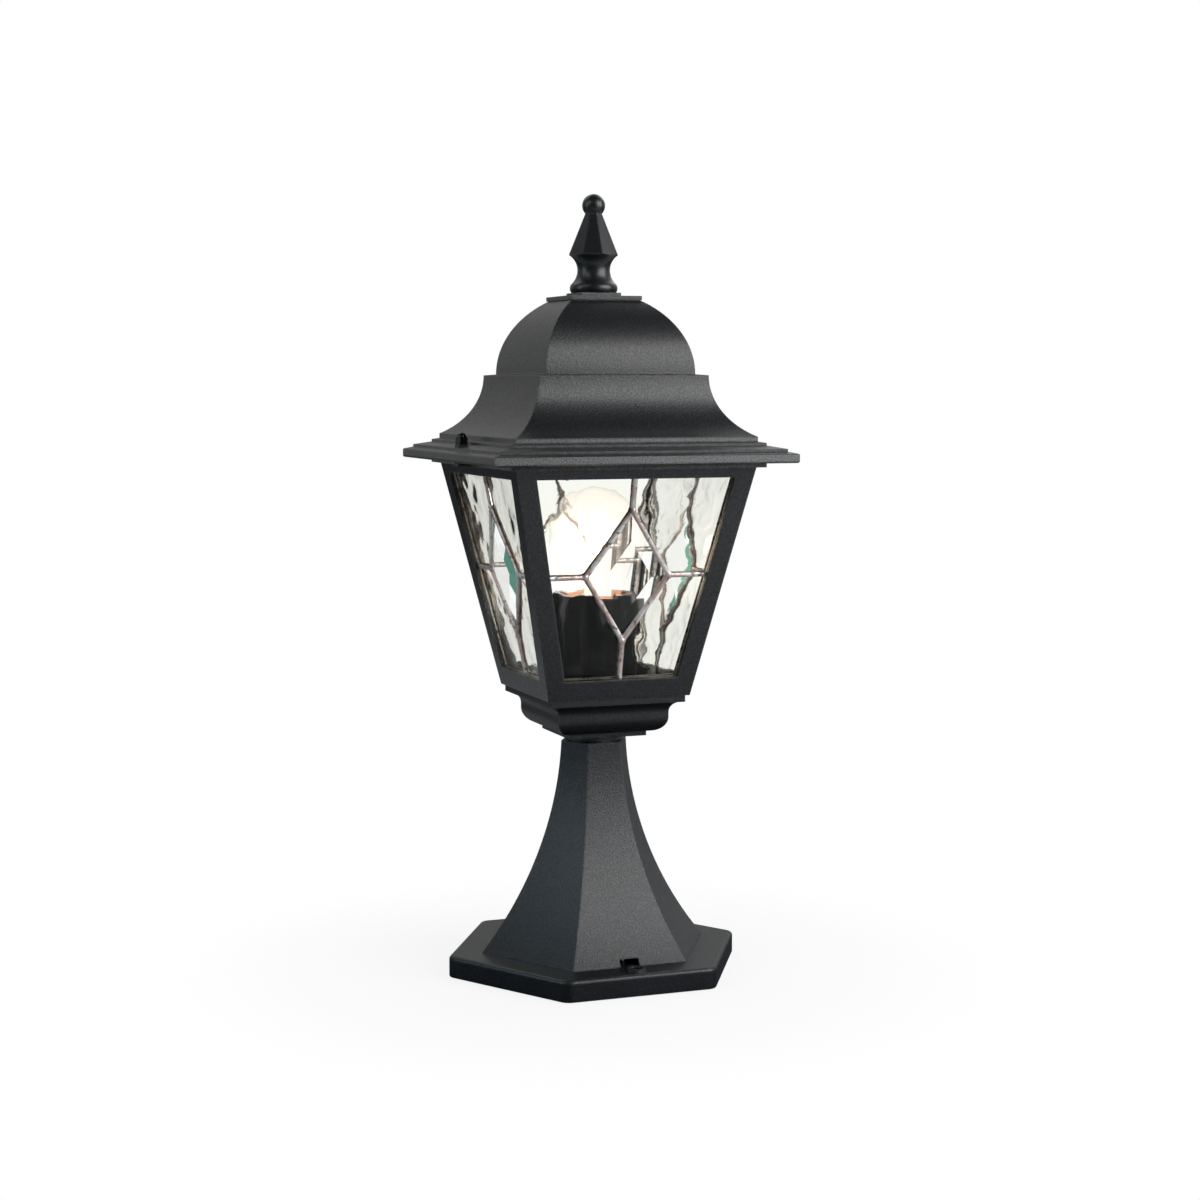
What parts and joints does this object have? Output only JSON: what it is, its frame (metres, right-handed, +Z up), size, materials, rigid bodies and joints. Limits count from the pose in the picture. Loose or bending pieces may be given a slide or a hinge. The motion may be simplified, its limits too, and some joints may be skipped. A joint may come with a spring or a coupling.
{
  "type": "pedestal lamp",
  "caption": "Outdoor pedestal lantern: black cast body with leaded bevelled glass, ogee roof with finial, on a flared hexagonal column and a ground plate.",
  "frame": {"origin": "middle of the base plate's underside, on the ground", "axes": "+Z up along the column, front face of the lantern towards -Y, +X to its right"},
  "size_m": [0.2, 0.2, 0.5035],
  "materials": {
    "black_coat": "satin black powder coat with a fine grain on cast aluminium",
    "water_glass": "clear glass with a wavy surface",
    "bevel_glass": "clear polished glass with bevelled edges",
    "lead_came": "tinned lead with soldered corners",
    "holder_black": "moulded black plastic",
    "porcelain": "glazed porcelain",
    "brass": "plain brass",
    "plated_steel": "zinc plated steel",
    "bulb_opal": "frosted bulb with a screw cap",
    "grommet_rubber": "black rubber",
    "block_plastic": "off-white moulded plastic",
    "live_insulation": "brown insulation",
    "neutral_insulation": "blue insulation",
    "earth_insulation": "green and yellow insulation"
  },
  "bodies": {
    "root": {"back_bevel_diamond": "bevel_glass", "back_glass_lower_left": "water_glass", "back_glass_lower_right": "water_glass", "back_glass_upper_left": "water_glass", "back_glass_upper_right": "water_glass", "back_leadwork": "lead_came", "base_plate": "black_coat", "bulb": "bulb_opal", "cable_grommet": "grommet_rubber", "clip_screws": "plated_steel", "column_screws": "plated_steel", "earth_lead": "earth_insulation", "earth_screw": "plated_steel", "earth_tag": "brass", "finial": "black_coat", "finial_nut": "plated_steel", "finial_stud": "plated_steel", "finial_washer": "plated_steel", "front_bevel_diamond": "bevel_glass", "front_glass_lower_left": "water_glass", "front_glass_lower_right": "water_glass", "front_glass_upper_left": "water_glass", "front_glass_upper_right": "water_glass", "front_leadwork": "lead_came", "glass_clips": "plated_steel", "lampholder_base": "holder_black", "lampholder_contact": "brass", "lampholder_core": "porcelain", "lampholder_cover": "holder_black", "lampholder_shell": "brass", "lantern_body": "black_coat", "left_bevel_diamond": "bevel_glass", "left_glass_lower_left": "water_glass", "left_glass_lower_right": "water_glass", "left_glass_upper_left": "water_glass", "left_glass_upper_right": "water_glass", "left_leadwork": "lead_came", "live_lead": "live_insulation", "neck_collar": "black_coat", "neutral_lead": "neutral_insulation", "pedestal_column": "black_coat", "right_bevel_diamond": "bevel_glass", "right_glass_lower_left": "water_glass", "right_glass_lower_right": "water_glass", "right_glass_upper_left": "water_glass", "right_glass_upper_right": "water_glass", "right_leadwork": "lead_came", "roof": "black_coat", "roof_nuts": "black_coat", "roof_studs": "plated_steel", "terminal_block": "block_plastic", "terminal_screws": "brass", "threaded_tube": "plated_steel", "tube_nuts": "plated_steel", "tube_washers": "plated_steel"}
  },
  "joints": []
}
